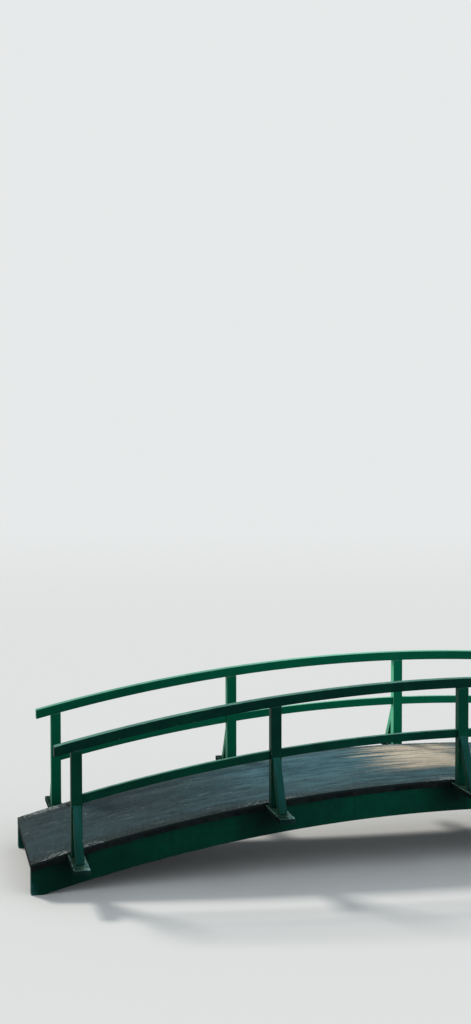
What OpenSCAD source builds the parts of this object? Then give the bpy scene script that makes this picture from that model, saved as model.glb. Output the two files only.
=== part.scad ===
// Moon bridge: an arched timber footbridge with a painted railing on each side.
// X runs along the bridge, Y across it and Z up. The origin is under its middle, at the feet.

/* [Span] */
// Distance between the middles of neighbouring posts
bay = 1850; // [1500:10:2200]
// Deck past the middle of each end post
deck_over = 400; // [250:10:800]
// Radius of the deck's walking surface
deck_r = 15500; // [12500:50:20000]
// Length of the level seat under each end of a beam
seat_l = 120; // [60:5:200]

/* [Deck] */
// Width of the planked deck
deck_w = 1670; // [1200:10:2400]
// Thickness of the cross planks
plank_t = 40; // [35:1:80]
// Thickness of the worn surface course on the planks
surface_t = 30; // [10:1:40]

/* [Edge beams] */
// Depth of each arched edge beam
beam_h = 240; // [160:5:360]
// Thickness of each arched edge beam
beam_t = 100; // [60:5:160]
// Beam's outer face in from the deck's edge
beam_inset = 16; // [0:1:60]

/* [Sills] */
// Width of each sill along the bridge
sill_w = 150; // [120:5:200]
// Thickness of each sill
sill_t = 50; // [40:1:90]
// Sill past the outer face of the posts
sill_out = 395; // [320:5:600]

/* [Posts] */
// Width of each post along the bridge
post_w = 100; // [60:1:115]
// Depth of each post across the bridge
post_d = 90; // [60:1:140]
// Gap between the deck's edge and the back of the posts
post_gap = 35; // [0:1:80]

/* [Rails] */
// Height of the top rail's upper face over the deck
top_rail_up = 995; // [800:5:1200]
// Depth of the top rail from its upper to its lower face
top_rail_h = 90; // [50:1:140]
// Width of the top rail across the bridge
top_rail_w = 90; // [50:1:140]
// Top rail past the middle of each end post
rail_over = 200; // [60:5:400]
// Height of the middle rail's upper face over the deck
mid_rail_up = 500; // [350:5:700]
// Depth of the middle rail from its upper to its lower face
mid_rail_h = 78; // [40:1:120]
// Width of the middle rail across the bridge
mid_rail_w = 50; // [30:1:60]
// Middle rail's outer face in from the outer face of the posts
mid_rail_in = 30; // [0:1:30]

/* [Rakers] */
// Width of each raker along the bridge
raker_w = 75; // [40:1:90]
// Thickness of each raker
raker_t = 70; // [40:1:100]
// Foot of each raker's outer face out from the post
raker_out = 253; // [180:1:300]
// Top of each raker over the sill
raker_up = 470; // [350:5:550]

/* [Hidden] */
stations = [1, 2, 3, 4, 5];
last = len(stations);
middle = (last + 1) / 2;
bay_list = [1:last - 1];
deck_list = [1:last + 1];
// Clearance between curved faces that bear on each other
seat_gap = 0.3;
// Longest straight step along an arc
arc_step = 120;
paint = [0.02, 0.30, 0.24];
wood = [0.24, 0.20, 0.18];
grit = [0.50, 0.51, 0.50];

deck_t = plank_t + surface_t;
beam_top_r = deck_r - deck_t;
beam_low_r = beam_top_r - beam_h;
half_l = (last - middle) * bay + deck_over;
rail_half_l = (last - middle) * bay + rail_over;
// Height of the arcs' centre that brings the beams' level seats to the ground
centre_z = -sqrt(pow(beam_low_r, 2) - pow(half_l - seat_l, 2));
post_y = deck_w / 2 + post_gap;
front_y = post_y + post_d;
top_rail_r = deck_r + top_rail_up;
mid_rail_r = deck_r + mid_rail_up;

function station_x(i) = (i - middle) * bay;
function arc_z(r, x) = centre_z + sqrt(r * r - x * x);
function arc_points(r, x0, x1) =
    let (steps = ceil(abs(x1 - x0) / arc_step))
    [for (k = [0:steps]) let (x = x0 + (x1 - x0) * k / steps) [x, arc_z(r, x)]];
function sill_top_z(i) = arc_z(deck_r - surface_t, station_x(i));

// Extrudes an upright outline, drawn in X and Z, from y0 to y1
module upright(y0, y1) {
    translate([0, y1, 0]) rotate([90, 0, 0]) linear_extrude(height = y1 - y0) children();
}

// Arched bar between two radii and two upright end cuts
module arched_bar(r_low, r_top, x0, x1, y0, y1) {
    upright(y0, y1) polygon(concat(arc_points(r_low, x0, x1), arc_points(r_top, x1, x0)));
}

// Puts a piece of the near side on the far side, as a mirror image
module far_side() {
    mirror([0, 1, 0]) children();
}

// Space that a level sill takes across the bridge
module sill_block(i) {
    translate([station_x(i) - sill_w / 2, -front_y - sill_out, sill_top_z(i) - sill_t])
        cube([sill_w, 2 * (front_y + sill_out), sill_t]);
}

module below_ground() {
    translate([-half_l, -deck_w, -beam_h]) cube([2 * half_l, 2 * deck_w, beam_h]);
}

module edge_beam() {
    y0 = -deck_w / 2 + beam_inset;
    color(paint) difference() {
        arched_bar(beam_low_r, beam_top_r, -half_l, half_l, y0, y0 + beam_t);
        for (i = stations) sill_block(i);
        below_ground();
    }
}

module deck_planks(i) {
    x0 = i == 1 ? -half_l : station_x(i - 1) + sill_w / 2;
    x1 = i > last ? half_l : station_x(i) - sill_w / 2;
    low_r = beam_top_r + seat_gap;
    color(wood) arched_bar(low_r, low_r + plank_t - seat_gap, x0, x1, -deck_w / 2, deck_w / 2);
}

module deck_surface() {
    low_r = deck_r - surface_t + seat_gap;
    color(grit) difference() {
        arched_bar(low_r, deck_r, -half_l, half_l, -deck_w / 2, deck_w / 2);
        for (i = stations) sill_block(i);
    }
}

module sill(i) {
    color(wood) sill_block(i);
}

module post(i) {
    top_r = top_rail_r - top_rail_h - seat_gap;
    x0 = station_x(i) - post_w / 2;
    x1 = x0 + post_w;
    z0 = sill_top_z(i);
    outline = [[x0, z0], [x1, z0], [x1, arc_z(top_r, x1)], [x0, arc_z(top_r, x0)]];
    color(paint) upright(-front_y, -post_y) polygon(outline);
}

module raker(i) {
    lean = atan2(raker_out, raker_up);
    foot = raker_t / cos(lean);
    head = raker_t / sin(lean);
    outline = [[0, raker_up], [-raker_out, 0], [foot - raker_out, 0], [0, raker_up - head]];
    color(paint) translate([station_x(i) - raker_w / 2, -front_y, sill_top_z(i)])
        rotate([90, 0, 90]) linear_extrude(height = raker_w) polygon(outline);
}

module top_rail() {
    color(paint) arched_bar(top_rail_r - top_rail_h, top_rail_r, -rail_half_l, rail_half_l,
        -front_y, top_rail_w - front_y);
}

module mid_rail(i) {
    x0 = station_x(i) + post_w / 2;
    x1 = station_x(i + 1) - post_w / 2;
    y0 = mid_rail_in - front_y;
    color(paint) arched_bar(mid_rail_r - mid_rail_h, mid_rail_r, x0, x1, y0, y0 + mid_rail_w);
}

edge_beam();  // edge_beam_near
far_side() edge_beam();  // edge_beam_far
deck_surface();
top_rail();  // top_rail_near
far_side() top_rail();  // top_rail_far
for (i = deck_list) deck_planks(i);
for (i = stations) sill(i);
for (i = stations) post(i);
for (i = stations) far_side() post(i);
for (i = stations) raker(i);
for (i = stations) far_side() raker(i);
for (i = bay_list) mid_rail(i);
for (i = bay_list) far_side() mid_rail(i);
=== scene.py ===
"""Looks of an arched timber moon bridge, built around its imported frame.

Every piece of timber is lofted with eased edges where its node lies, and carries its own grain
coordinates, so that paint, wood and the worn walking surface are finished by node materials.
Lengths are in metres. X runs along the bridge, Y across it and Z up.
"""

import functools
import logging
import math
from collections.abc import Callable, Iterable, Sequence
from dataclasses import dataclass, field
from enum import Enum
from typing import Any, Union

import bmesh
import bpy
from mathutils import Matrix, Vector, noise

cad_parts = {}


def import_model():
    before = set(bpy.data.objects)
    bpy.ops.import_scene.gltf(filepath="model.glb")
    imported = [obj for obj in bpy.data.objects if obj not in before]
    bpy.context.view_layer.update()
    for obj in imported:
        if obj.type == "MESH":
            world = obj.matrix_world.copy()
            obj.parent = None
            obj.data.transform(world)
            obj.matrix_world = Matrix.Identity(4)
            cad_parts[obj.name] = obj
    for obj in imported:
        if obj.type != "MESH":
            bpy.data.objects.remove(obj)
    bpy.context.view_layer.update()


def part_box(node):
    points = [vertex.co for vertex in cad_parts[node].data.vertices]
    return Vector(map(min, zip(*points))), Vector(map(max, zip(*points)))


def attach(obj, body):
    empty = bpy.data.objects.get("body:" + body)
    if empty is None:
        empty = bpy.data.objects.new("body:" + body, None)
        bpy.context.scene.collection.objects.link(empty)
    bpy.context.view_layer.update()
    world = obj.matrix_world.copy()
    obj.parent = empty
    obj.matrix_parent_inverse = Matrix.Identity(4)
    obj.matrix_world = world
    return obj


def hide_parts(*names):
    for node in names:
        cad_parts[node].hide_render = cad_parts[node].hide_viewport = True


log = logging.getLogger("moon_bridge")

Colour = tuple[float, float, float]
Pair = tuple[float, float]
Box = tuple[Vector, Vector]
Value = Union[float, "Signal"]
Place = Callable[[float, float, float, float], Vector]
GrainOf = Callable[[Vector], Vector]
SoilAndShadeOf = Callable[[Vector], float]
Finishes = dict[str, bpy.types.Material]
Owner = Union[bpy.types.Material, bpy.types.World]

BODY = "root"
STATIONS = range(1, 6)
BAYS = range(1, 5)
BOARD_ROWS = range(1, 7)
SEAT_GAP = 0.0003
SPLASH_HEIGHT = 0.22
# Soil at a timber's foot, made darker so that it also paints shade there
SPLASH_SOIL_AND_SHADE = 0.5
GOLDEN_SHARE = 0.618034
SMOOTH = {"interpolation_type": "SMOOTHSTEP"}


class Side(Enum):
    """A side of the bridge, with the sign of its Y."""

    NEAR = -1
    FAR = 1

    @property
    def word(self) -> str:
        """The side's word in the names of nodes."""
        return self.name.lower()


class Signal:
    """A shader socket whose arithmetic adds Math nodes."""

    def __init__(self, shader: "Shader", socket: bpy.types.NodeSocket) -> None:
        """Wraps a socket of a shader's tree."""
        self.shader = shader
        self.socket = socket

    def math(self, operation: str, *others: Value) -> "Signal":
        """Adds one Math node fed by this socket and by further values."""
        return self.shader.calculate(operation, self, *others)

    def __add__(self, other: Value) -> "Signal":
        """Sum."""
        return self.math("ADD", other)

    __radd__ = __add__

    def __sub__(self, other: Value) -> "Signal":
        """Difference."""
        return self.math("SUBTRACT", other)

    def __rsub__(self, other: Value) -> "Signal":
        """Difference from a number."""
        return self.shader.calculate("SUBTRACT", other, self)

    def __mul__(self, other: Value) -> "Signal":
        """Product."""
        return self.math("MULTIPLY", other)

    def __truediv__(self, other: Value) -> "Signal":
        """Quotient."""
        return self.math("DIVIDE", other)

    def __pow__(self, other: Value) -> "Signal":
        """Power."""
        return self.math("POWER", other)

    def ramp(self, low: float, high: float) -> "Signal":
        """Smooth mask that rises from 0 at low to 1 at high, or falls where low is the larger."""
        limits = (low, high, 0.0, 1.0) if low < high else (high, low, 1.0, 0.0)
        return self.shader.node("ShaderNodeMapRange", SMOOTH, dict(enumerate((self, *limits))))


class Shader:
    """The node tree of a material or a world, which ends in one surface."""

    def __init__(self, owner: Owner) -> None:
        """Empties the owner's tree and adds its output.

        Args:
            owner: The material or world.
        """
        self.owner = owner
        owner.use_nodes = True
        self.tree = owner.node_tree
        self.tree.nodes.clear()
        kind = "World" if isinstance(owner, bpy.types.World) else "Material"
        self.output = self.tree.nodes.new(f"ShaderNodeOutput{kind}")

    def close(self, surface: Signal) -> Any:
        """Ends the tree with its surface, and returns the finished owner."""
        self.tree.links.new(surface.socket, self.output.inputs["Surface"])
        return self.owner

    def node(self, kind: str, settings: dict[str, Any] | None = None,
             sockets: dict[int | str, Any] | None = None, out: int | str = 0) -> Signal:
        """Adds a node.

        Args:
            kind: The node's type.
            settings: Its properties, which are set first.
            sockets: The value or signal of each named or numbered input.
            out: The output that is returned.

        Returns:
            That output as a signal.
        """
        made = self.tree.nodes.new(kind)
        for key, value in (settings or {}).items():
            setattr(made, key, value)
        for key, value in (sockets or {}).items():
            if isinstance(value, Signal):
                self.tree.links.new(value.socket, made.inputs[key])
            else:
                made.inputs[key].default_value = value
        return Signal(self, made.outputs[out])

    def calculate(self, operation: str, *values: Value) -> Signal:
        """Adds a Math node with these inputs."""
        return self.node("ShaderNodeMath", {"operation": operation}, dict(enumerate(values)))

    def vector(self, operation: str, *values: Any, out: int | str = 0) -> Signal:
        """Adds a Vector Math node with these inputs."""
        return self.node("ShaderNodeVectorMath", {"operation": operation}, dict(enumerate(values)), out)

    def blend(self, kind: str, mask: Value, first: Any, second: Any) -> Signal:
        """Two colours blended in one way, by a mask."""
        settings = {"data_type": "RGBA", "blend_type": kind}
        return self.node("ShaderNodeMix", settings, {0: mask, 6: first, 7: second}, 2)

    def mix(self, mask: Value, first: Any, second: Any) -> Signal:
        """Colour that goes from the first to the second with the mask."""
        first, second = (v if isinstance(v, Signal) else (*v, 1.0) for v in (first, second))
        return self.blend("MIX", mask, first, second)

    def shade(self, colour: Signal, factor: Signal) -> Signal:
        """Colour made lighter or darker by a factor."""
        grey = self.node("ShaderNodeCombineColor", None, dict.fromkeys(range(3), factor))
        return self.blend("MULTIPLY", 1.0, colour, grey)

    def coated(self, colour: Signal, *coats: tuple[Value, Any]) -> Signal:
        """Lays coats on a colour.

        Args:
            colour: The colour underneath.
            coats: The mask and the colour of each coat, in order.

        Returns:
            The colour on top.
        """
        for mask, coat in coats:
            colour = self.mix(mask, colour, coat)
        return colour

    def attribute(self, name: str, out: str = "Fac") -> Signal:
        """A value that the mesh holds."""
        return self.node("ShaderNodeAttribute", {"attribute_name": name}, None, out)

    def position(self) -> Signal:
        """Place on the bridge, in metres."""
        return self.node("ShaderNodeTexCoord", None, None, "Object")

    def axis(self, vector: Signal, index: int) -> Signal:
        """One component of a vector."""
        return self.node("ShaderNodeSeparateXYZ", None, {0: vector}, index)

    def normal(self) -> Signal:
        """Direction that the surface faces."""
        return self.node("ShaderNodeNewGeometry", None, None, "Normal")

    def facing_up(self) -> Signal:
        """How far the surface faces up, from -1 to 1."""
        return self.axis(self.normal(), 2)

    def cloud(self, place: Signal, scale: float = 1.0, detail: float = 3.0,
              rough: float = 0.55, warp: float = 0.0) -> Signal:
        """Noise from about 0.3 to 0.7 at a place."""
        numbers = {"Scale": scale, "Detail": detail, "Roughness": rough, "Distortion": warp}
        return self.node("ShaderNodeTexNoise", None, {"Vector": place, **numbers})

    def streaks(self, place: Signal, scale: tuple[float, float, float], detail: float = 3.0,
                rough: float = 0.55, warp: float = 0.0) -> Signal:
        """Noise with a scale of its own along each axis."""
        return self.cloud(self.vector("MULTIPLY", place, scale), 1.0, detail, rough, warp)

    def cells(self, place: Signal, scale: float, out: str = "Distance") -> Signal:
        """Cell pattern at a place."""
        return self.node("ShaderNodeTexVoronoi", None, {"Vector": place, "Scale": scale}, out)

    def surface(self, colour: Signal, roughness: Value, height: Signal, depth: float,
                **constants: float) -> bpy.types.Material:
        """Closes the material with a Principled surface.

        Args:
            colour: Base colour.
            roughness: Roughness of the surface.
            height: Relief from about 0 to 1.
            depth: How deep that relief is, in metres.
            constants: Sockets that are the same all over, with _ for a space in their names.

        Returns:
            The finished material.
        """
        bump = self.node("ShaderNodeBump", None, {"Strength": 1.0, "Distance": depth, "Height": height})
        sockets = {"Base Color": colour, "Roughness": roughness, "Normal": bump}
        sockets.update({key.replace("_", " "): value for key, value in constants.items()})
        return self.close(self.node("ShaderNodeBsdfPrincipled", None, sockets))


def wood_rings(shader: Shader, grain: Signal, tone: Signal, spacing: float) -> tuple[Signal, Signal]:
    """Growth rings and fibres of sawn wood, from a place in the board's own axes.

    Args:
        shader: The tree that is added to.
        grain: Place in the board, with X along its fibres.
        tone: A value that differs from board to board.
        spacing: Distance between growth rings.

    Returns:
        The late wood of the rings and the fine fibres, each from 0 to 1.
    """
    wander = shader.streaks(grain, (1.6, 9.0, 9.0), 2.0)
    across = shader.axis(grain, 1) + (tone - 0.5) * 0.16 + wander * 0.016
    deep = shader.axis(grain, 2) + 0.045 + tone * 0.05 + wander * 0.010
    radius = (across * across + deep * deep) ** 0.5
    rings = (radius * (math.tau / spacing)).math("SINE") * 0.5 + 0.5
    fibres = shader.streaks(grain, (14.0, 420.0, 420.0), 2.0)
    return rings.ramp(0.35, 1.0), fibres.ramp(0.3, 0.7)


@dataclass(frozen=True)
class GreenPaint:
    """Satin green oil paint on planed timber: worn at the edges and grimy low down, with painted sunlight,
    painted sky sheen and painted shade.
    """

    deep: Colour = (0.0002, 0.027, 0.019)
    fresh: Colour = (0.0008, 0.175, 0.086)
    # faded: real fading, and also painted sunlight where its mask follows the sun direction
    faded_and_sunlit: Colour = (0.050, 0.260, 0.180)
    # chalky: chalking of the paint, and also a painted sky sheen on top faces
    chalky_and_sheen: Colour = (0.220, 0.500, 0.410)
    # bleached: painted sunlight on the faces that face the sun
    painted_sunlight: Colour = (0.200, 0.830, 0.500)
    # haze: painted sky reflection on upward-slanting faces
    haze: Colour = (0.016, 0.100, 0.104)
    # grime: grime, dark enough to paint shade as well
    grime_and_shade: Colour = (0.001, 0.008, 0.007)
    primer: Colour = (0.20, 0.26, 0.22)
    bare: Colour = (0.090, 0.082, 0.068)
    gloss_roughness: float = 0.40
    # sun: the direction that the painted sunlight comes from
    sun: tuple[float, float, float] = (-0.86, 0.06, 0.50)

    def material(self) -> bpy.types.Material:
        """Builds the paint.

        Returns:
            The material.
        """
        s = Shader(bpy.data.materials.new("green_paint"))
        grain, place = s.attribute("grain", "Vector"), s.position()
        tone, arris, up = s.attribute("tone"), s.attribute("arris"), s.facing_up()
        fibres = s.streaks(grain, (5.0, 190.0, 190.0))
        brush = s.streaks(grain, (3.0, 60.0, 60.0), 2.0)
        chips = s.streaks(grain, (22.0, 90.0, 90.0), 4.0, 0.7)
        runs = s.streaks(place, (26.0, 26.0, 1.1))
        patches, blotches = s.cloud(place, 1.7, 4.0, 0.6), s.cloud(place, 9.0, 4.0, 0.6)
        top, under = up.ramp(0.55, 0.95), up.ramp(-0.3, -0.9)
        slope = up.ramp(0.15, 0.5) * (1 - top)
        along = s.axis(place, 0).math("ABSOLUTE")

        depth = (tone * 0.9 + (patches - 0.5) * 0.4 + (blotches - 0.5) * 0.25).math("MAXIMUM", 0.0)
        colour = s.mix(depth, self.deep, self.fresh)
        shade = (0.74 + brush * 0.32 + fibres * 0.2) * (1.06 - along.ramp(0.6, 3.4) * 0.32)
        # Painted sun exposure: stronger on the far side and towards the crown
        painted_sun_exposure = tone.ramp(0.45, 0.68) * (along.ramp(2.0, 0.9) * 0.75 + 0.25)
        # Painted shade on the left-facing faces low down on the near side
        facing_left, low_down = s.axis(s.normal(), 0).ramp(-0.5, -0.9), s.axis(place, 2).ramp(1.35, 1.15)
        painted_shade_left = facing_left * low_down * (1 - painted_sun_exposure)
        colour = s.shade(colour, shade * (1 - painted_shade_left * 0.5))

        # Painted sunlight on the faces towards the sun, patchy
        facing_painted_sun = s.vector("DOT_PRODUCT", s.normal(), self.sun, out="Value").ramp(0.15, 0.62)
        painted_sunlit = facing_painted_sun * (blotches * 0.4 + fibres * 0.4 + 0.35)
        # Chalking on tops, which also stands in for a painted sky sheen there
        chalk_and_sheen_mask = top * (patches * 0.5 + blotches * 0.5 + fibres * 0.5).ramp(0.45, 0.95)
        # Coats: painted sky reflection on slopes, fading with painted sunlight, painted sunlight, chalking
        # with a painted sky sheen on tops, and runs
        colour = s.coated(
            colour,
            (slope * (brush.ramp(0.40, 0.60) * 0.35 + blotches * 0.3 + 0.17), self.haze),
            (top * 0.25 + painted_sunlit * (painted_sun_exposure * 0.3 + 0.04), self.faded_and_sunlit),
            (painted_sunlit * painted_sun_exposure, self.painted_sunlight),
            (chalk_and_sheen_mask * (painted_sun_exposure * 0.3 + 0.5), self.chalky_and_sheen),
            (runs.ramp(0.56, 0.76) * (1 - top) * 0.02, self.faded_and_sunlit),
        )

        # Soil with painted shade by the sills and at the feet, and undersides darker
        low = s.attribute("soil_and_shade")
        dirt_and_shade = low ** 1.4 * 0.85 + (low + under * 0.3) * (blotches + runs * 0.5).ramp(0.45, 0.95) * 0.5
        worn = (arris * 0.13 + top * 0.02 + chips + (patches - 0.5) * 0.3).ramp(0.735, 0.775)
        through = (arris * 0.12 + chips + (patches - 0.5) * 0.3).ramp(0.785, 0.81)
        colour = s.mix(dirt_and_shade.math("MINIMUM", 0.92), colour, self.grime_and_shade)
        colour = s.mix(worn * 0.7, colour, self.primer)
        colour = s.mix(through, colour, self.bare)
        roughness = self.gloss_roughness + patches * 0.12 + chalk_and_sheen_mask * 0.16 + dirt_and_shade * 0.2 + worn * 0.3
        height = fibres * 0.35 + brush * 0.30 + blotches * 0.25 + (1 - worn) * 0.9
        return s.surface(colour, roughness, height, 0.00055, Specular_IOR_Level=0.045)


@dataclass(frozen=True)
class PlankWood:
    """Bare damp boards: dark weathered ends with rings and checks, and a plain sawn underside."""

    dark: Colour = (0.0012, 0.0036, 0.0036)
    light: Colour = (0.015, 0.023, 0.023)
    red: Colour = (0.018, 0.014, 0.015)
    green: Colour = (0.008, 0.017, 0.013)
    ring_spacing: float = 0.0065

    def material(self) -> bpy.types.Material:
        """Builds the wood.

        Returns:
            The material.
        """
        s = Shader(bpy.data.materials.new("plank_wood"))
        grain, place = s.attribute("grain", "Vector"), s.position()
        tone, arris = s.attribute("tone"), s.attribute("arris")
        rings, fibres = wood_rings(s, grain, tone, self.ring_spacing)
        checks = s.streaks(grain, (3.0, 130.0, 16.0), 3.0, 0.6, 0.4).ramp(0.58, 0.66)
        stains = s.cloud(place, 11.0, 5.0, 0.65)
        stained = stains.ramp(0.4, 0.6)
        hue = (tone * 7.31).math("FRACT")
        colour = s.mix(fibres * 0.4 + (1 - rings) * 0.3 + stains * 0.7 - 0.3, self.dark, self.light)
        colour = s.mix(hue.ramp(0.55, 0.9) * stained * 0.5, colour, self.red)
        colour = s.mix(hue.ramp(0.5, 0.1) * stains.ramp(0.48, 0.62) * 0.8, colour, self.green)
        colour = s.shade(colour, 0.58 + tone * 0.85)
        colour = s.coated(colour, (checks * 0.75, self.dark), (arris * stained * 0.3, self.light))
        height = rings * 0.35 + fibres * 0.35 + (1 - checks) * 0.9 + stains * 0.4
        return s.surface(colour, 0.78 + stains * 0.2, height, 0.0011, Specular_IOR_Level=0.08)


@dataclass(frozen=True)
class SillWood:
    """Bare outstanding sills: pale lichen on their open edge, dark algae and moss on the rest, painted shade
    on their sides and shut top half, and a painted highlight on upper edges.
    """

    brown: Colour = (0.0036, 0.0125, 0.0118)
    silver: Colour = (0.034, 0.085, 0.070)
    algae: Colour = (0.003, 0.024, 0.017)
    moss: Colour = (0.016, 0.070, 0.036)
    lichen: Colour = (0.21, 0.38, 0.36)
    check: Colour = (0.003, 0.006, 0.006)
    ring_spacing: float = 0.008

    def material(self) -> bpy.types.Material:
        """Builds the wood.

        Returns:
            The material.
        """
        s = Shader(bpy.data.materials.new("sill_wood"))
        grain, place = s.attribute("grain", "Vector"), s.position()
        tone, arris, up = s.attribute("tone"), s.attribute("arris"), s.facing_up()
        rings, fibres = wood_rings(s, grain, tone, self.ring_spacing)
        checks = s.streaks(grain, (2.2, 95.0, 60.0), 3.0, 0.6).ramp(0.60, 0.68)
        stains, tufts = s.cloud(place, 8.0, 5.0, 0.65), s.cloud(place, 70.0, 3.0, 0.6)
        drift = s.cloud(place, 19.0, 5.0, 0.7, 0.5)
        top = up.ramp(0.45, 0.85)
        end = s.axis(s.normal(), 1).math("ABSOLUTE").ramp(0.6, 0.9)
        side = (1 - top) * (1 - end)
        # Open side of the top: lichen and painted light; the shut half gets painted shade
        lit_and_open_side = s.axis(grain, 1).ramp(-0.015, 0.050)
        painted_shade_top = top * (1 - lit_and_open_side)

        colour = s.mix(top * 0.8 + arris * 0.05, self.brown, self.silver)
        colour = s.shade(colour, 0.55 + fibres * 0.55 + (1 - rings) * 0.22)
        # damp: algae on the sides and ends, and painted shade on the shut half of the top
        damp, mossy = side * 0.9 + end * 0.3 + painted_shade_top * 0.95, side * 0.2 + top * 0.7
        colour = s.mix(damp * stains.ramp(0.30, 0.48), colour, self.algae)
        colour = s.mix(mossy * (stains + tufts * 0.4).ramp(0.66, 0.80), colour, self.moss)
        # Ends lighter; painted shade on the sides and on the shut half of the top
        colour = s.shade(colour, 1.0 + end * 0.5 - side * 0.75 - painted_shade_top * 0.35)

        bloom = (drift + tufts * 0.35 + arris * 0.05 + lit_and_open_side * 0.05).ramp(0.66, 0.76)
        spots = (s.cells(place, 55.0) + (drift - 0.5) * 1.6).ramp(0.34, 0.16)
        crust = bloom.math("MAXIMUM", spots * 0.8) * (top * 0.85 + arris * 0.12).math("MINIMUM", 1.0)
        crust = crust * (lit_and_open_side * 1.05 + 0.05)
        # Painted highlight along the upper edges, in lichen colour
        painted_edge_highlight = arris * up.ramp(0.15, 0.6) * (drift + tufts * 0.5).ramp(0.62, 0.86)
        colour = s.mix(crust * tufts.ramp(0.30, 0.55) * 0.85, colour, self.lichen)
        colour = s.mix(painted_edge_highlight * (lit_and_open_side * 0.45 + 0.30), colour, self.lichen)
        colour = s.mix(checks * 0.75, colour, self.check)
        height = fibres * 0.4 + rings * 0.2 + (1 - checks) * 0.9 + tufts * 0.5 + crust * 0.4
        return s.surface(colour, 0.82 + stains * 0.15, height, 0.0016, Specular_IOR_Level=0.025)


@dataclass(frozen=True)
class WornDeck:
    """Gritty walking surface: streaked along the bridge, damp at its edges, with painted sunlight over its
    crown and far half, and painted shade on its side faces.
    """

    slate: Colour = (0.0135, 0.045, 0.058)
    ash: Colour = (0.051, 0.129, 0.155)
    warm: Colour = (0.050, 0.074, 0.076)
    # sand and earth: colours of the painted sunlit patch over the crown
    sunlit_sand: Colour = (0.600, 0.510, 0.385)
    sunlit_earth: Colour = (0.300, 0.235, 0.185)
    # damp: damp specks and edges, and painted shade on the course's side faces
    damp: Colour = (0.012, 0.020, 0.021)
    moss: Colour = (0.032, 0.052, 0.032)
    pale: Colour = (0.32, 0.38, 0.38)
    bay: float = 1.85

    def material(self) -> bpy.types.Material:
        """Builds the surface.

        Returns:
            The material.
        """
        s = Shader(bpy.data.materials.new("worn_deck"))
        grain, place = s.attribute("grain", "Vector"), s.position()
        lip, side = s.attribute("arris"), s.attribute("tone")
        along, across = (s.axis(place, index).math("ABSOLUTE") for index in (0, 1))
        streaks = s.streaks(grain, (2.4, 12.0, 12.0), 6.0, 0.68)
        lines = s.streaks(grain, (0.8, 17.0, 17.0), 5.0, 0.65)
        scuffs = s.streaks(grain, (9.0, 95.0, 95.0), 3.0, 0.65)
        flecks = s.streaks(grain, (26.0, 48.0, 48.0), 4.0, 0.75)
        scars = s.streaks(grain, (3.6, 9.0, 9.0), 6.0, 0.75)
        stains, areas = s.cloud(place, 1.5, 5.0, 0.6, 0.3), s.cloud(place, 0.45, 3.0, 0.6)
        mottle, grit = s.cloud(place, 30.0, 4.0, 0.65), s.cloud(place, 330.0, 2.0, 0.7)
        speck = s.axis(s.cells(place, 210.0, "Color"), 0)

        # Painted sunlight: a streaky sandy patch over the crown, on the far part of the deck
        sunlit_band = s.axis(place, 1).ramp(-0.60, -0.12) * s.axis(place, 1).ramp(0.96, 0.70)
        painted_sunlit_crown = along.ramp(1.30, 0.0) * sunlit_band * 0.76 + lines * 1.4 + stains * 0.3 + scuffs * 0.2
        painted_sunlit_sand = s.mix((streaks * 0.5 + scuffs * 0.5).ramp(0.45, 0.57) * 0.8, self.sunlit_sand, self.sunlit_earth)
        colour = s.mix((streaks * 1.1 + stains * 0.5).ramp(0.58, 1.0), self.slate, self.ash)
        colour = s.mix((areas + stains * 0.3).ramp(0.56, 0.78) * 0.55, colour, self.warm)
        colour = s.mix(painted_sunlit_crown.ramp(1.28, 1.74) * 0.85, colour, painted_sunlit_sand)

        shade = (0.30 + mottle * 0.56 + grit * 0.44 + scuffs * 0.40) * (1.04 - along.ramp(0.9, 3.4) * 0.66)
        rim = across.ramp(0.50, 0.80) * (along.ramp(0.8, 2.4) * 0.25 + 0.22) + across.ramp(0.73, 0.81) * 0.22
        # Painted light on the far half of the deck near the crown
        painted_light_far_half = s.axis(place, 1).ramp(-0.35, 0.15) * along.ramp(2.6, 1.6)
        colour = s.shade(colour, shade * (1 - rim) * (1 + painted_light_far_half * 0.5))

        edge = across.ramp(0.60, 0.82)
        by_sill = ((s.axis(place, 0) / self.bay + 0.5).math("FRACT") - 0.5).math("ABSOLUTE").ramp(0.26, 0.08)
        crumbs = (areas * 0.6 + flecks + mottle * 0.3 + by_sill * 0.15).ramp(1.07, 1.14)
        colour = s.coated(
            colour,
            (speck.ramp(0.82, 0.98) * 0.28, self.pale),
            (speck.ramp(0.16, 0.05) * 0.45, self.damp),
            ((scars + mottle * 0.2).ramp(0.70, 0.77) * 0.2, self.pale),
            (edge * (mottle + stains * 0.5).ramp(0.62, 0.92) * 0.4, self.damp),
            (edge * (mottle * 0.6 + stains * 0.6).ramp(0.64, 0.74) * 0.5, self.moss),
            ((across.ramp(0.66, 0.80) * 0.8).math("MAXIMUM", lip) * crumbs * 0.9, self.pale),
            (lip * 0.06, self.pale),
            # Painted shade on the course's side faces, under the lip
            (side * 0.94, self.damp),
        )
        height = grit * 0.35 + speck * 0.25 + mottle * 0.5 + scuffs * 0.35
        return s.surface(colour, 0.88 + grit * 0.1, height, 0.0022, Specular_IOR_Level=0.16)


@dataclass(frozen=True)
class EdgePoint:
    """A point of a section: its two coordinates and how much it belongs to an eased edge."""

    u: float
    v: float
    arris: float


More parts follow.
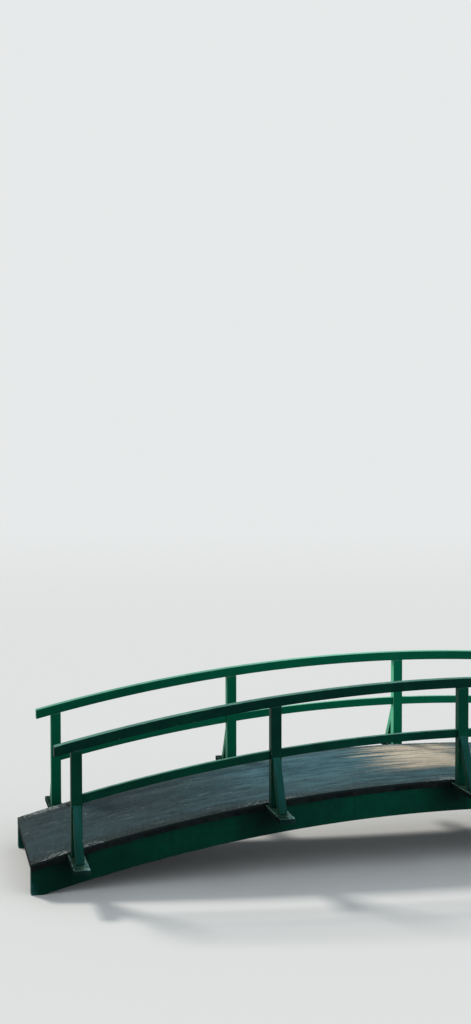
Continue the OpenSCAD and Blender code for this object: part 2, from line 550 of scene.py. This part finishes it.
@dataclass(frozen=True)
class Easing:
    """How a timber's edges are eased. A feather edge lies against another piece and is not worn."""

    radius: float = 0.004
    steps: int = 3
    support: float = 0.003
    feather: float = math.radians(45.0)
    feather_share: float = 0.12
    least_share: float = 0.05
    least_wear: float = 0.6

    def wear(self, share: float) -> float:
        """Wear at a share of the turn round an edge, most at its middle."""
        return self.least_wear + (1 - self.least_wear) * math.sin(math.pi * share)

    def section(self, corners: Sequence[Pair], inset: float) -> list[EdgePoint]:
        """Rounds a convex outline.

        Args:
            corners: The outline's corners, anticlockwise.
            inset: How far every edge is moved in first.

        Returns:
            The points of the rounded outline, the same number at every inset.
        """
        moved = inset_outline(corners, inset)
        points: list[EdgePoint] = []
        count = len(moved)
        for index, corner in enumerate(moved):
            before = (moved[index - 1] - corner).normalized()
            after = (moved[(index + 1) % count] - corner).normalized()
            half = before.angle(after) / 2
            feather = half < self.feather / 2
            radius = max(self.radius - inset, self.radius * self.least_share)
            radius *= self.feather_share if feather else 1.0
            reach = radius / math.tan(half)
            centre = corner + (before + after).normalized() * (radius / math.sin(half))
            start = corner + before * reach - centre
            turn = math.pi - 2 * half
            points.append(EdgePoint(*(corner + before * (reach + self.support)), 0.0))
            for step in range(self.steps + 1):
                share = step / self.steps
                spoke = Matrix.Rotation(turn * share, 2) @ start
                points.append(EdgePoint(*(centre + spoke), 0.0 if feather else self.wear(share)))
            points.append(EdgePoint(*(corner + after * (reach + self.support)), 0.0))
        return points

    def rings(self, body: Iterable[float]) -> list["Ring"]:
        """Rings along a piece: eased ends and the places between them.

        Args:
            body: Shares of the length at which the skin has a ring, apart from its ends.

        Returns:
            The rings in order.
        """
        first = [Ring(0.0, 0.0, self.radius + self.support, 0.0)]
        for step in range(self.steps + 1):
            share = step / self.steps
            reach = self.radius * (1 - math.cos(math.pi / 2 * share))
            inset = self.radius * (1 - math.sin(math.pi / 2 * share))
            first.append(Ring(0.0, reach, inset, self.wear(share)))
        first.append(Ring(0.0, self.radius + self.support, 0.0, 0.0))
        second = [Ring(1.0, -ring.offset, ring.inset, ring.arris) for ring in reversed(first)]
        return [*first, *(Ring(share, 0.0, 0.0, 0.0) for share in body), *second]


@dataclass(frozen=True)
class Ring:
    """One ring of a skin: its share of the length, an offset, the section's inset and its wear."""

    share: float
    offset: float
    inset: float
    arris: float


def inset_outline(corners: Sequence[Pair], inset: float) -> list[Vector]:
    """Moves every edge of a convex outline in by the same distance.

    Args:
        corners: The outline's corners, anticlockwise.
        inset: The distance.

    Returns:
        The corners of the smaller outline.
    """
    points = [Vector(corner) for corner in corners]
    count = len(points)
    moved = []
    for index, corner in enumerate(points):
        before = (corner - points[index - 1]).normalized()
        after = (points[(index + 1) % count] - corner).normalized()
        inward = Vector((-before.y - after.y, before.x + after.x)).normalized()
        cosine = inward.dot(Vector((-before.y, before.x)))
        moved.append(corner + inward * (inset / cosine))
    return moved


@dataclass(frozen=True)
class Vertex:
    """A point of a skin, with the values that the finishes read there."""

    place: Vector
    grain: Vector
    arris: float
    tone: float
    soil_and_shade: float = 0.0


@dataclass
class Skin:
    """A closed skin, or several."""

    vertices: list[Vertex] = field(default_factory=list)
    faces: list[tuple[int, ...]] = field(default_factory=list)

    def add(self, vertex: Vertex) -> int:
        """Adds a vertex, and returns its number."""
        self.vertices.append(vertex)
        return len(self.vertices) - 1

    def add_loft(self, loops: Sequence[Sequence[int]]) -> None:
        """Joins closed loops of vertices into a skin with both ends closed.

        Args:
            loops: The numbers of each loop's vertices.
        """
        for first, second in zip(loops, loops[1:]):
            count = len(first)
            for index in range(count):
                after = (index + 1) % count
                self.faces.append((first[index], first[after], second[after], second[index]))
        self.faces.append(tuple(reversed(loops[0])))
        self.faces.append(tuple(loops[-1]))

    def add_bar(self, corners: Sequence[Pair], easing: Easing, body: Iterable[float],
                place: Place, grain_of: GrainOf, tone: float,
                soil_and_shade_of: SoilAndShadeOf = lambda point: 0.0) -> None:
        """Adds a bar of one convex section with eased edges and ends.

        Args:
            corners: The section's corners.
            easing: How its edges are eased.
            body: Shares of the length at which it has rings.
            place: Gives the point at two section coordinates, a share of the length and an offset.
            grain_of: Gives a point's place in the timber, X along the fibres, shifted from piece to piece.
            tone: A value that differs from piece to piece.
            soil_and_shade_of: Gives how dirty the timber is at a point, with painted shade there too, from 0
                to 1.
        """
        loops = []
        for ring in easing.rings(body):
            loop = []
            for edge in easing.section(corners, ring.inset):
                point = place(edge.u, edge.v, ring.share, ring.offset)
                wear = max(edge.arris, ring.arris)
                loop.append(self.add(Vertex(point, grain_of(point), wear, tone, soil_and_shade_of(point))))
            loops.append(loop)
        self.add_loft(loops)

    def make(self, name: str, node: str, slot: str, finishes: Finishes) -> None:
        """Makes the object, gives it its finish and puts it in its node's place.

        Args:
            name: The piece's name.
            node: The node that it stands for.
            slot: The record's slot of its finish.
            finishes: The materials of every slot.
        """
        mesh = bpy.data.meshes.new(name)
        mesh.from_pydata([tuple(vertex.place) for vertex in self.vertices], [], self.faces)
        turned = bmesh.new()
        turned.from_mesh(mesh)
        bmesh.ops.recalc_face_normals(turned, faces=turned.faces)
        turned.to_mesh(mesh)
        turned.free()
        for key in ("arris", "tone", "soil_and_shade"):
            values = [getattr(vertex, key) for vertex in self.vertices]
            mesh.attributes.new(key, "FLOAT", "POINT").data.foreach_set("value", values)
        flat = [number for vertex in self.vertices for number in vertex.grain]
        mesh.attributes.new("grain", "FLOAT_VECTOR", "POINT").data.foreach_set("vector", flat)
        mesh.shade_smooth()
        mesh.materials.append(finishes[slot])
        mesh.validate()
        piece = bpy.data.objects.new(name, mesh)
        bpy.context.scene.collection.objects.link(piece)
        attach(piece, BODY)
        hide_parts(node)
        log.info("%s: %d faces for %s", name, len(mesh.polygons), node)


def rectangle(low_u: float, low_v: float, high_u: float, high_v: float) -> list[Pair]:
    """Corners of a rectangle, anticlockwise."""
    return [(low_u, low_v), (high_u, low_v), (high_u, high_v), (low_u, high_v)]


def between(low: float, high: float, share: float, offset: float = 0.0) -> float:
    """Place at a share of the way from low to high, and an offset further."""
    return low + (high - low) * share + offset


def scattered(number: int) -> float:
    """A value from 0 to 1 that differs from number to number, but not from run to run."""
    return math.fmod(number * GOLDEN_SHARE, 1.0)


def shuffled(number: int) -> float:
    """A value from 0 to 1 with no visible order, but the same in every run."""
    return math.fmod(abs(math.sin(number * 12.9898)) * 43.7585, 1.0)


def waver(*place: float) -> float:
    """Smooth noise from about -1 to 1 at a place, the same in every run."""
    return noise.noise(Vector(place))


def splashed_and_shaded(foot_z: float) -> SoilAndShadeOf:
    """Soil of a timber that stands on a ledge, thickest at its foot, where it also paints shade."""
    return lambda point: min(1.0, max(0.0, 1 - (point.z - foot_z) / SPLASH_HEIGHT)) * SPLASH_SOIL_AND_SHADE


def shares(low: float, high: float, step: float, extra: Iterable[float] = ()) -> list[float]:
    """Shares of a length at even steps and at chosen places.

    Args:
        low: Where the length starts.
        high: Where it ends.
        step: The longest even step.
        extra: Further places, kept where they lie inside.

    Returns:
        The shares in order, without the ends.
    """
    count = max(1, math.ceil((high - low) / step))
    even = [index / count for index in range(1, count)]
    chosen = [(place - low) / (high - low) for place in extra if low < place < high]
    return sorted({round(share, 7) for share in (*even, *chosen)})


@dataclass(frozen=True)
class Arch:
    """The arcs that all curved pieces follow, about one centre under the bridge.

    A rail's two numbers are the heights of its lower and upper faces over the deck.
    """

    centre_z: float
    deck_r: float = 15.5
    surface_t: float = 0.030
    plank_t: float = 0.040
    beam_h: float = 0.240
    top_rail: Pair = (0.905, 0.995)
    mid_rail: Pair = (0.422, 0.500)

    @classmethod
    def of_frame(cls) -> "Arch":
        """Finds the centre from the crown of the deck's node."""
        return cls(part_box("deck_surface")[1].z - cls.deck_r)

    @property
    def board_top_r(self) -> float:
        """Radius of the boards' upper face."""
        return self.deck_r - self.surface_t

    @property
    def beam_r(self) -> Pair:
        """Radii of the edge beams' lower and upper faces."""
        return self.board_top_r - self.plank_t - self.beam_h, self.board_top_r - self.plank_t

    def z(self, radius: float, x: float) -> float:
        """Height of an arc at a place along the bridge."""
        return self.centre_z + math.sqrt(radius * radius - x * x)

    def point(self, x: float, y: float, radius: float) -> Vector:
        """Point on an arc."""
        return Vector((x, y, self.z(radius, x)))

    def grain(self, point: Vector) -> Vector:
        """Place in a curved timber: along its arc, across the bridge and out from the centre."""
        up, out = point.z - self.centre_z, math.hypot(point.x, point.z - self.centre_z)
        return Vector((math.atan2(point.x, up) * self.deck_r, point.y, out - self.deck_r))


@dataclass(frozen=True)
class Housings:
    """The places along the bridge where the beams and the deck's surface are cut round the sills."""

    sills: tuple[Box, ...]
    cut: float = 0.0003

    @classmethod
    def of_frame(cls) -> "Housings":
        """Finds the sills' nodes."""
        return cls(tuple(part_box(f"sill_{number}") for number in STATIONS))

    def marks(self) -> list[float]:
        """Both ends of every upright cut, along the bridge."""
        return [x for low, high in self.sills for x in (low.x - self.cut, low.x, high.x, high.x + self.cut)]

    def sills_at(self, x: float) -> list[Box]:
        """Boxes of the sills that cross at a place along the bridge."""
        return [(low, high) for low, high in self.sills
                if low.x - self.cut / 2 < x < high.x + self.cut / 2]


@dataclass(frozen=True)
class Arches:
    """The two painted edge beams, with level seats and housings for the sills."""

    arch: Arch
    finishes: Finishes
    housings: Housings
    easing: Easing = Easing(radius=0.006, support=0.004)
    step: float = 0.05
    # Painted sill shadow on the beams: its reach left and right of a sill, and its share at the beam's foot
    sill_shadow_left: float = 0.34
    sill_shadow_right: float = 0.07
    sill_shadow_low: float = 0.5
    # Near beam darker as painted shade, far beam lighter as painted light
    near_tone_in_shade: float = 0.13
    far_tone_in_light: float = 0.4

    def build(self) -> None:
        """Builds both beams."""
        self.build_beam(Side.NEAR, self.near_tone_in_shade)
        self.build_beam(Side.FAR, self.far_tone_in_light)

    def build_beam(self, side: Side, tone: float) -> None:
        """Builds the beam of one side.

        Args:
            side: The side it carries.
            tone: How light its paint is, from 0 to 1.
        """
        node = f"edge_beam_{side.word}"
        low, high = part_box(node)
        low_r, top_r = self.arch.beam_r
        seat_x = math.sqrt(low_r ** 2 - self.arch.centre_z ** 2)
        skin = Skin()
        skin.add_bar(
            rectangle(low.y, low_r, high.y, top_r), self.easing,
            shares(low.x, high.x, self.step, [-seat_x, seat_x, *self.housings.marks()]),
            lambda y, radius, *way: self.point(between(low.x, high.x, *way), y, radius),
            self.arch.grain, tone, self.painted_sill_shadow)
        skin.make(f"arched_beam_{side.word}", node, "green_paint", self.finishes)

    def point(self, x: float, y: float, radius: float) -> Vector:
        """Finds a point on a beam's arc, or on the level seat or housing that cuts it away.

        Args:
            x: Place along the bridge.
            y: Place across it.
            radius: The arc's radius.

        Returns:
            The point.
        """
        z = max(self.arch.z(radius, x), 0.0)
        for sill_low, _ in self.housings.sills_at(x):
            z = min(z, sill_low.z)
        return Vector((x, y, z))

    def painted_sill_shadow(self, point: Vector) -> float:
        """Finds the painted shadow of the nearest sill on a beam, reaching further to its left.

        Args:
            point: A point of the beam.

        Returns:
            The painted shadow, from 0 to 1, weaker lower down.
        """
        height = (point.z - self.arch.z(self.arch.beam_r[0], point.x)) / self.arch.beam_h
        away = min(max((low.x - point.x) / self.sill_shadow_left, (point.x - high.x) / self.sill_shadow_right)
                   for low, high in self.housings.sills)
        return min(1.0, max(0.0, 1.0 - away)) * between(self.sill_shadow_low, 1.0, height)


@dataclass(frozen=True)
class Railing:
    """One side's railing: posts and rakers on the sills, and curved rails along them."""

    arch: Arch
    finishes: Finishes
    side: Side
    easing: Easing = Easing(radius=0.005)
    rail_easing: Easing = Easing(radius=0.007, steps=4, support=0.004)
    step: float = 0.05
    raker_t: float = 0.070
    raker_rings: tuple[float, ...] = (0.25, 0.5, 0.75)
    # Near railing darker as painted shade, far railing lighter as painted light
    near_tone_in_shade: float = 0.04
    far_tone_in_light: float = 0.66
    tone_range: float = 0.22
    raker_tone: float = 0.1
    raker_seed: int = 7

    def build(self) -> None:
        """Builds every piece of the railing."""
        word = self.side.word
        for number in STATIONS:
            self.build_post(number)
            self.build_raker(number)
        name, node = f"top_rail_painted_{word}", f"top_rail_{word}"
        self.build_rail(name, node, self.arch.top_rail, 0, self.rail_easing)
        for bay in BAYS:
            name, node = f"middle_rail_painted_{word}_{bay}", f"mid_rail_{word}_{bay}"
            self.build_rail(name, node, self.arch.mid_rail, bay, self.easing)

    def tone(self, number: int) -> float:
        """How light a piece's paint is, from 0 to 1: random, lighter on the far side as painted light and
        darker on the near side as painted shade.
        """
        least = self.far_tone_in_light if self.side is Side.FAR else self.near_tone_in_shade
        return least + scattered(number) * self.tone_range

    def build_rail(self, name: str, node: str, faces: Pair, number: int, easing: Easing) -> None:
        """Builds a curved rail.

        Args:
            name: The rail's name.
            node: The node that it stands for.
            faces: Heights of its lower and upper faces over the deck.
            number: Its bay from the left, or 0 for a rail along all of them.
            easing: How its edges are eased.
        """
        low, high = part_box(node)
        low_r, top_r = (self.arch.deck_r + up for up in faces)
        skin = Skin()
        skin.add_bar(
            rectangle(low.y, low_r, high.y, top_r), easing, shares(low.x, high.x, self.step),
            lambda y, radius, *way: self.arch.point(between(low.x, high.x, *way), y, radius),
            self.arch.grain, self.tone(number))
        skin.make(name, node, "green_paint", self.finishes)

    def build_post(self, number: int) -> None:
        """Builds a post, cut at its head to the top rail's curve.

        Args:
            number: Its station, from the left.
        """
        node = f"post_{self.side.word}_{number}"
        low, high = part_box(node)
        head_r = self.arch.deck_r + self.arch.top_rail[0] - SEAT_GAP
        skin = Skin()
        skin.add_bar(
            rectangle(low.x, low.y, high.x, high.y), self.easing, shares(low.z, high.z, self.step),
            lambda x, y, *way: Vector((x, y, between(low.z, self.arch.z(head_r, x), *way))),
            lambda point: Vector((point.z + number, point.x - low.x, point.y)),
            self.tone(number), splashed_and_shaded(low.z))
        skin.make(f"square_post_{self.side.word}_{number}", node, "green_paint", self.finishes)

    def build_raker(self, number: int) -> None:
        """Builds a raker: plumb cut against its post and level cut on its sill.

        Args:
            number: Its station, from the left.
        """
        node = f"raker_{self.side.word}_{number}"
        low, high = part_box(node)
        sign = self.side.value
        face, toe = (high.y, low.y) if sign < 0 else (low.y, high.y)
        out, rise = abs(face - toe), high.z - low.z
        lean = math.atan2(out, rise)
        foot, head = self.raker_t / math.cos(lean), self.raker_t / math.sin(lean)
        outline = [(0.0, rise - head), (0.0, rise), (-out, 0.0), (foot - out, 0.0)]
        along = Vector((0.0, sign * math.sin(lean), -math.cos(lean)))
        aside = Vector((0.0, math.cos(lean), sign * math.sin(lean)))
        skin = Skin()
        skin.add_bar(
            outline, self.easing, self.raker_rings,
            lambda y, z, *way: Vector((between(low.x, high.x, *way), face - sign * y, low.z + z)),
            lambda point: Vector((point.dot(along) + number * 2, point.x - low.x, point.dot(aside))),
            self.tone(number + self.raker_seed) + self.raker_tone, splashed_and_shaded(low.z))
        skin.make(f"raking_brace_{self.side.word}_{number}", node, "green_paint", self.finishes)


@dataclass(frozen=True)
class Sills:
    """The bare timbers that stand out past the deck and carry posts and rakers."""

    finishes: Finishes
    easing: Easing = Easing(radius=0.007, steps=4, support=0.004)
    step: float = 0.02
    wear: float = 0.0018
    wear_rates: Pair = (23.0, 61.0)

    def build(self) -> None:
        """Builds the five sills."""
        for number in STATIONS:
            self.build_sill(number)

    def build_sill(self, number: int) -> None:
        """Builds a sill with weathered, slightly wavy faces.

        Args:
            number: Its station, from the left.
        """
        node = f"sill_{number}"
        low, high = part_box(node)
        middle = (low + high) / 2
        skin = Skin()
        skin.add_bar(
            rectangle(low.x, low.z, high.x, high.z), self.easing, shares(low.y, high.y, self.step),
            lambda x, z, *way: self.worn(Vector((x, between(low.y, high.y, *way), z)), middle),
            lambda point: Vector((point.y, point.x - middle.x, point.z - middle.z + number * 0.01)),
            scattered(number))
        skin.make(f"weathered_sill_{number}", node, "sill_wood", self.finishes)

    def worn(self, point: Vector, middle: Vector) -> Vector:
        """Moves a point of a sill in by the wear of its face.

        Args:
            point: The point on the plain face.
            middle: The sill's middle.

        Returns:
            The point on the worn face.
        """
        coarse, fine = (waver(*point * rate) for rate in self.wear_rates)
        rough = (coarse + 0.5 * fine - 1.0) * self.wear
        inward = Vector((middle.x - point.x, 0.0, middle.z - point.z)).normalized()
        return point - inward * rough


@dataclass(frozen=True)
class BoardRow:
    """The cross boards between two sills, or past an end sill."""

    arch: Arch
    finishes: Finishes
    number: int
    board_w: float = 0.143
    wander: float = 0.012
    wander_rate: float = 7.3
    joint: float = 0.0012
    end_play: float = 0.005
    end_rate: float = 3.1
    far_shift: float = 9.0
    rings: tuple[float, ...] = (0.2, 0.4, 0.6, 0.8)
    easing: Easing = Easing(radius=0.0035, steps=2, support=0.002)

    def build(self) -> None:
        """Builds the row as one joined piece."""
        node = f"deck_planks_{self.number}"
        low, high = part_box(node)
        count = round((high.x - low.x) / self.board_w)
        edges = [between(low.x, high.x, index / count) for index in range(count + 1)]
        for index in range(1, count):
            edges[index] += waver(edges[index] * self.wander_rate, self.number, 0.5) * self.wander
        skin = Skin()
        for index in range(count):
            self.add_board(skin, index, edges, (low.y, high.y))
        skin.make(f"cross_boards_{self.number}", node, "plank_wood", self.finishes)

    def add_board(self, skin: Skin, index: int, edges: Sequence[float], ends: Pair) -> None:
        """Adds one board, square to the arc at its joints and plumb against a sill.

        Args:
            skin: The row's skin.
            index: The board's number in the row.
            edges: Where the boards' lower faces meet along the bridge.
            ends: Y of the row's near and far ends.
        """
        seat_r, top_r = self.arch.beam_r[1] + SEAT_GAP, self.arch.board_top_r
        first, final = index == 0, index == len(edges) - 2
        x0 = edges[index] + (0.0 if first else self.joint / 2)
        x1 = edges[index + 1] - (0.0 if final else self.joint / 2)
        x2, x3 = (x if plumb else x * top_r / seat_r for x, plumb in ((x1, final), (x0, first)))
        corners = [(x, self.arch.z(radius, x))
                   for x, radius in ((x0, seat_r), (x1, seat_r), (x2, top_r), (x3, top_r))]
        near, far = ends[0] + self.play(edges[index]), ends[1] - self.play(edges[index], self.far_shift)
        tone = shuffled(self.number * 31 + index)
        middle_x, middle_z = (x0 + x1) / 2, (corners[0][1] + corners[2][1]) / 2
        skin.add_bar(
            corners, self.easing, self.rings,
            lambda x, z, *way: Vector((x, between(near, far, *way), z)),
            lambda point: Vector((point.y + index, point.x - middle_x, point.z - middle_z)), tone)

    def play(self, x: float, shift: float = 0.0) -> float:
        """How far a board's end stands back, by its place along the bridge and a shift of the noise."""
        return (0.5 + waver(x * self.end_rate + shift, self.number * 1.7, 0.3)) * self.end_play


@dataclass(frozen=True)
class CoursePoint:
    """A point of the course: its Y, its depth under the crown or None at the base, and its shares."""

    y: float
    depth: float | None
    lip: float = 0.0
    side: float = 0.0


@dataclass(frozen=True)
class DeckCourse:
    """The continuous worn surface on the boards, with a rough nicked lip along both edges.

    A rate is how fast a noise changes with the place. The further numbers that the noises are given
    only keep them and the two sides apart.
    """

    arch: Arch
    finishes: Finishes
    housings: Housings
    step: float = 0.02
    ends: tuple[float, ...] = (0.0, 0.002, 0.006)
    rows: int = 64
    least_t: float = 0.001
    lip_w: float = 0.030
    lip_h: float = 0.003
    lip_gap: float = 0.0045
    lip_shape: tuple[Pair, ...] = (
        (0.0, 0.55), (0.06, 0.25), (0.18, 0.05), (0.35, 0.0), (0.6, 0.25), (0.85, 0.75), (1.1, 1.0))
    foot_in: float = 0.006
    brow_in: float = 0.0035
    brow_depth: float = 0.013
    brow_broken: float = 0.3
    top_broken: float = 0.35
    least_broken: float = 0.0006
    wave: float = 0.0022
    wave_rate: float = 9.0
    nick: float = 0.007
    nick_rate: float = 31.0
    nick_from: float = 0.18
    nick_gain: float = 2.2
    swell: float = 0.0009
    swell_rates: Pair = (3.0, 9.0)
    pits: float = 0.0006
    pit_rates: Pair = (38.0, 70.0)

    def build(self) -> None:
        """Builds the surface course."""
        low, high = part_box("deck_surface")
        body = shares(low.x, high.x, self.step, self.housings.marks())
        skin = Skin()
        loops = []
        for share in sorted({*self.ends, *body, *(1 - end for end in self.ends)}):
            loops.append(self.add_ring(skin, between(low.x, high.x, share), low.y, high.y))
        skin.add_loft(loops)
        skin.make("worn_walking_surface", "deck_surface", "worn_deck", self.finishes)

    def add_ring(self, skin: Skin, x: float, near: float, far: float) -> list[int]:
        """Adds the ring of points around the course at one place along the bridge.

        Args:
            skin: The course's skin.
            x: The place along the bridge.
            near: Y of the near edge.
            far: Y of the far edge.

        Returns:
            The numbers of the ring's points.
        """
        base = self.arch.z(self.arch.board_top_r + SEAT_GAP, x)
        for _, sill_high in self.housings.sills_at(x):
            base = max(base, sill_high.z + SEAT_GAP)
        near_edge, far_edge = self.edge(x, near, Side.NEAR), self.edge(x, far, Side.FAR)
        start, stop = near_edge[-1].y + self.lip_gap, far_edge[-1].y - self.lip_gap
        across = [between(start, stop, row / self.rows) for row in range(self.rows + 1)]
        middle = [CoursePoint(y, self.depth(x, y, 1.0, 0.0)) for y in across]
        loop = []
        for at in (*near_edge, *middle, *reversed(far_edge)):
            z = base
            if at.depth is not None:
                z = max(self.arch.z(self.arch.deck_r - at.depth, x), base + self.least_t)
            point = Vector((x, at.y, z))
            loop.append(skin.add(Vertex(point, self.arch.grain(point), at.lip, at.side)))
        return loop

    def edge(self, x: float, outer: float, side: Side) -> list[CoursePoint]:
        """Finds the points over one edge, from the foot of its side face to the inside of its lip.

        Args:
            x: The place along the bridge.
            outer: Y of the edge before it is broken back.
            side: The side it is on.

        Returns:
            The points in order.
        """
        inward = -side.value
        wave = 0.5 + 0.5 * waver(x * self.wave_rate, side.value * 5.0, 0.0)
        nick = max(0.0, waver(x * self.nick_rate, side.value * 7.0, 3.0) - self.nick_from) * self.nick_gain
        broken = self.least_broken + wave * self.wave + min(nick, 1.0) * self.nick
        brow_y = outer + inward * (self.brow_in + broken * self.brow_broken)
        points = [CoursePoint(outer + inward * self.foot_in, None, 0.0, 1.0),
                  CoursePoint(brow_y, self.brow_depth, 0.0, 1.0)]
        for share, drop in self.lip_shape:
            y = outer + inward * (broken + share * self.lip_w)
            depth = self.depth(x, y, drop, broken)
            points.append(CoursePoint(y, depth, 1 - min(share, 1.0), 0.0 if share else 1.0))
        return points

    def depth(self, x: float, y: float, drop: float, broken: float) -> float:
        """Finds the depth of the surface under its highest arc.

        Args:
            x: Place along the bridge.
            y: Place across it.
            drop: Share of the lip's height that the profile has lost here.
            broken: How far the edge is broken back here.

        Returns:
            The depth, never less than nothing.
        """
        swell = (1.0 + waver(x * self.swell_rates[0], y * self.swell_rates[1], 0.0)) * self.swell
        pits = (1.0 + waver(x * self.pit_rates[0], y * self.pit_rates[1], 2.0)) * self.pits
        return max(0.0, drop * self.lip_h + swell + pits + broken * self.top_broken)


@dataclass(frozen=True)
class Lamp:
    """A far lamp: its strength, its colour, how wide it looks and where it shines from."""

    name: str
    strength: float
    colour: Colour
    angle: float
    shines_from: tuple[float, float, float]

    def build(self) -> None:
        """Adds the lamp to the scene."""
        light = bpy.data.lights.new(self.name, "SUN")
        light.energy = self.strength
        light.angle = self.angle
        light.color = self.colour
        lamp = bpy.data.objects.new(self.name, light)
        lamp.rotation_mode = "QUATERNION"
        lamp.rotation_quaternion = Vector(self.shines_from).to_track_quat("Z", "Y")
        bpy.context.scene.collection.objects.link(lamp)


@dataclass(frozen=True)
class Studio:
    """The pale floor and the plain soft light."""

    backdrop: Colour = (0.80, 0.82, 0.82)
    floor_colour: Colour = (0.74, 0.75, 0.75)
    bounce_colour: Colour = (0.34, 0.36, 0.36)
    sky_colour: Colour = (0.90, 0.96, 1.0)
    sky_strength: float = 0.48
    lamps: tuple[Lamp, ...] = (
        Lamp("key_light", 2.1, (1.0, 0.95, 0.87), math.radians(13.0), (-0.50, 0.72, 0.80)),
        Lamp("fill_light", 0.8, (0.92, 0.97, 1.0), math.radians(55.0), (0.75, -0.60, 0.60)),
    )
    seen_by: tuple[str, str, str] = ("Is Camera Ray", "Is Glossy Ray", "Is Transmission Ray")
    floor_r: float = 190.0
    floor_points: int = 96
    fade_from: float = 13.0
    fade_to: float = 60.0

    def build(self) -> None:
        """Builds the floor, the world and the lamps."""
        self.build_floor()
        self.build_world()
        for lamp in self.lamps:
            lamp.build()

    def build_floor(self) -> None:
        """Builds a round floor whose colour goes over into the backdrop's."""
        turns = [math.tau * index / self.floor_points for index in range(self.floor_points)]
        ring = [(math.cos(turn) * self.floor_r, math.sin(turn) * self.floor_r, 0.0) for turn in turns]
        mesh = bpy.data.meshes.new("studio_floor")
        mesh.from_pydata(ring, [], [tuple(range(self.floor_points))])
        floor = bpy.data.objects.new("studio_floor", mesh)
        bpy.context.scene.collection.objects.link(floor)
        mesh.materials.append(self.floor_material())

    def floor_material(self) -> bpy.types.Material:
        """Makes the floor's material: matt near the bridge and plain backdrop far away.

        Returns:
            The material.
        """
        s = Shader(bpy.data.materials.new("studio_floor"))
        seen = self.seen(s)
        colour = s.mix(seen, self.bounce_colour, self.floor_colour)
        matt = s.node("ShaderNodeBsdfDiffuse", None, {"Color": colour})
        plain = self.glow(s, "ShaderNodeEmission", self.backdrop)
        fade = s.vector("LENGTH", s.position(), out="Value").ramp(self.fade_from, self.fade_to) * seen
        return s.close(s.node("ShaderNodeMixShader", None, {0: fade, 1: matt, 2: plain}))

    def glow(self, shader: Shader, kind: str, colour: Colour, strength: float = 1.0) -> Signal:
        """Even light of one colour, as a material's emission or a world's background."""
        return shader.node(kind, None, {"Color": (*colour, 1.0), "Strength": strength})

    def seen(self, shader: Shader) -> Signal:
        """Mask of the rays that show the backdrop: from the camera, and in gloss or glass."""
        rays = (shader.node("ShaderNodeLightPath", None, None, ray) for ray in self.seen_by)
        return functools.reduce(lambda seen, ray: seen.math("MAXIMUM", ray), rays)

    def build_world(self) -> None:
        """Builds the world: plain backdrop where it is seen, and soft sky light elsewhere."""
        s = Shader(bpy.data.worlds.new("soft_sky"))
        sky = self.glow(s, "ShaderNodeBackground", self.sky_colour, self.sky_strength)
        plain = self.glow(s, "ShaderNodeBackground", self.backdrop)
        mixed = s.node("ShaderNodeMixShader", None, {0: self.seen(s), 1: sky, 2: plain})
        bpy.context.scene.world = s.close(mixed)


@dataclass(frozen=True)
class PhotoCamera:
    """A camera at the photograph's place and angle."""

    place: tuple[float, float, float] = (-5.089, -13.116, 3.958)
    yaw: float = 0.2304
    pitch: float = 0.0408
    roll: float = -0.0011
    focal_px: float = 1370.0
    long_side_px: float = 1024.0
    sensor: float = 36.0
    sees_to: float = 500.0

    def build(self) -> None:
        """Builds the camera and makes it the scene's own."""
        lens = bpy.data.cameras.new("photo_camera")
        lens.sensor_width = self.sensor
        lens.lens = self.focal_px / self.long_side_px * self.sensor
        lens.clip_end = self.sees_to
        camera = bpy.data.objects.new("photo_camera", lens)
        turn = (Matrix.Rotation(-self.yaw, 4, "Z") @ Matrix.Rotation(math.pi / 2 - self.pitch, 4, "X")
                @ Matrix.Rotation(self.roll, 4, "Z"))
        camera.matrix_world = Matrix.Translation(self.place) @ turn
        bpy.context.scene.collection.objects.link(camera)
        bpy.context.scene.camera = camera


def main() -> None:
    """Builds the camera, the bridge and the studio."""
    logging.basicConfig(level=logging.INFO, format="%(name)s: %(message)s")
    bpy.context.scene.view_settings.view_transform = "Standard"
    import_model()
    PhotoCamera().build()
    arch, housings = Arch.of_frame(), Housings.of_frame()
    kinds = {"green_paint": GreenPaint, "plank_wood": PlankWood, "sill_wood": SillWood, "worn_deck": WornDeck}
    finishes = {slot: kind().material() for slot, kind in kinds.items()}
    Arches(arch, finishes, housings).build()
    Sills(finishes).build()
    for number in BOARD_ROWS:
        BoardRow(arch, finishes, number).build()
    DeckCourse(arch, finishes, housings).build()
    for side in Side:
        Railing(arch, finishes, side).build()
    Studio().build()


if __name__ == "__main__":
    main()
